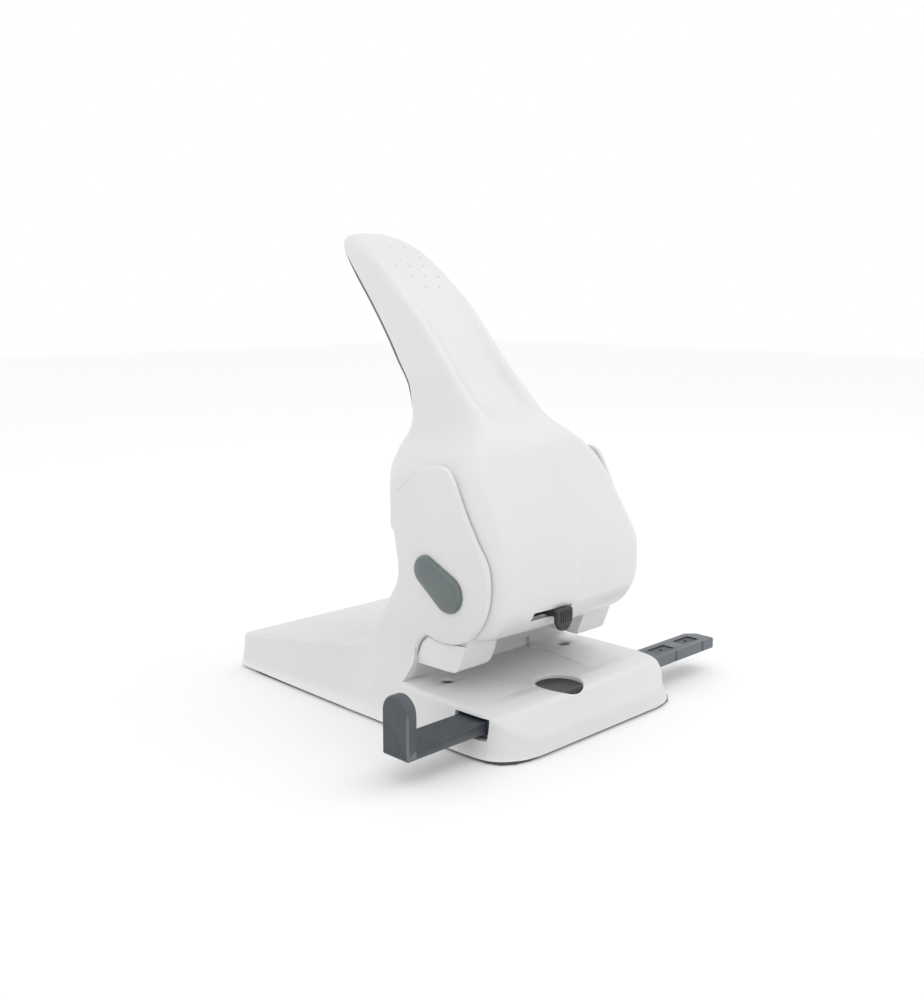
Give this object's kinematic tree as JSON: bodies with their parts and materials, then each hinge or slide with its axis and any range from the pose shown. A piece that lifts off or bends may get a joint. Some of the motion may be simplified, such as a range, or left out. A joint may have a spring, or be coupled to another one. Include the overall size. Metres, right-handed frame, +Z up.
{
  "type": "two-hole paper punch",
  "caption": "Heavy-duty desk punch with a long raised handle, twin punch pins, a sliding paper guide with an end stop, a lock slider and a chip tray under the base.",
  "frame": {"origin": "on the table plane, under the point midway between the two die holes", "axes": "+Z up, -Y towards the paper side, +X to the right when the paper side is faced"},
  "size_m": [0.2128, 0.192, 0.2214],
  "materials": {
    "white_shell": "satin white moulding",
    "white_cover": "satin white moulding",
    "white_bracket": "satin white moulding",
    "slate_gloss": "glossy slate grey",
    "slate_grip": "matt slate grey",
    "guide_grey": "matt blue grey",
    "black_plastic": "matt black",
    "maroon_card": "matt dark red",
    "black_rubber": "matt rubber",
    "zinc_steel": "zinc plated",
    "tool_steel": "ground steel",
    "spring_steel": "spring wire",
    "nylon": "natural nylon",
    "clear": "clear window"
  },
  "bodies": {
    "frame": {"base_shell": "white_shell", "base_plate": "zinc_steel", "die_plate": "tool_steel", "die_supports": "zinc_steel", "left_upright": "zinc_steel", "right_upright": "zinc_steel", "crossbar": "zinc_steel", "left_bracket": "white_bracket", "right_bracket": "white_bracket", "bracket_screws": "zinc_steel", "base_screws": "zinc_steel", "pivot_shaft": "tool_steel", "shaft_clips": "spring_steel", "left_side_cap": "slate_gloss", "right_side_cap": "slate_gloss", "window_lens": "clear", "guide_channel": "black_plastic", "guide_detent": "spring_steel", "scale_strip": "maroon_card", "tray_hinge_pins": "zinc_steel", "rear_foot": "black_rubber", "lock_catch": "zinc_steel", "left_spring": "spring_steel", "right_spring": "spring_steel"},
    "lever": {"head_cover": "white_cover", "grip_insert": "slate_grip", "lever_frame": "zinc_steel", "press_bar": "tool_steel", "lever_bushes": "nylon", "frame_screws": "zinc_steel", "grip_screws": "zinc_steel"},
    "left_pin": {"left_punch_pin": "tool_steel", "left_collar": "zinc_steel"},
    "right_pin": {"right_punch_pin": "tool_steel", "right_collar": "zinc_steel"},
    "lock": {"lock_slider": "black_plastic"},
    "guide": {"guide_bar": "guide_grey"},
    "tray": {"chip_tray": "black_plastic", "tray_feet": "black_rubber"}
  },
  "joints": [
    {"name": "lever_pivot", "type": "hinge", "parent": "frame", "child": "lever", "pos_m": [0, -0.016, 0.065], "axis": [-1, 0, 0], "range_deg": [0, 50], "stiffness_Nm_per_rad": 1.2, "springref_deg": -34.38},
    {"name": "left_pin_slide", "type": "slide", "parent": "frame", "child": "left_pin", "axis": [0, 0, -1], "range_m": [0, 0.0136], "deforming": ["left_spring"]},
    {"name": "right_pin_slide", "type": "slide", "parent": "frame", "child": "right_pin", "axis": [0, 0, -1], "range_m": [0, 0.0136], "deforming": ["right_spring"]},
    {"name": "lock_slide", "type": "slide", "parent": "lever", "child": "lock", "axis": [-1, 0, 0], "range_m": [0, 0.0115]},
    {"name": "guide_slide", "type": "slide", "parent": "frame", "child": "guide", "axis": [1, 0, 0], "range_m": [-0.0525, 0.03]},
    {"name": "tray_hinge", "type": "hinge", "parent": "frame", "child": "tray", "pos_m": [0, 0.125, 0.003], "axis": [1, 0, 0], "range_deg": [0, 70]}
  ],
  "couplings": [
    {"joint": "left_pin_slide", "follows": "lever_pivot", "m_per_rad": 0.015497},
    {"joint": "right_pin_slide", "follows": "lever_pivot", "m_per_rad": 0.015497}
  ]
}
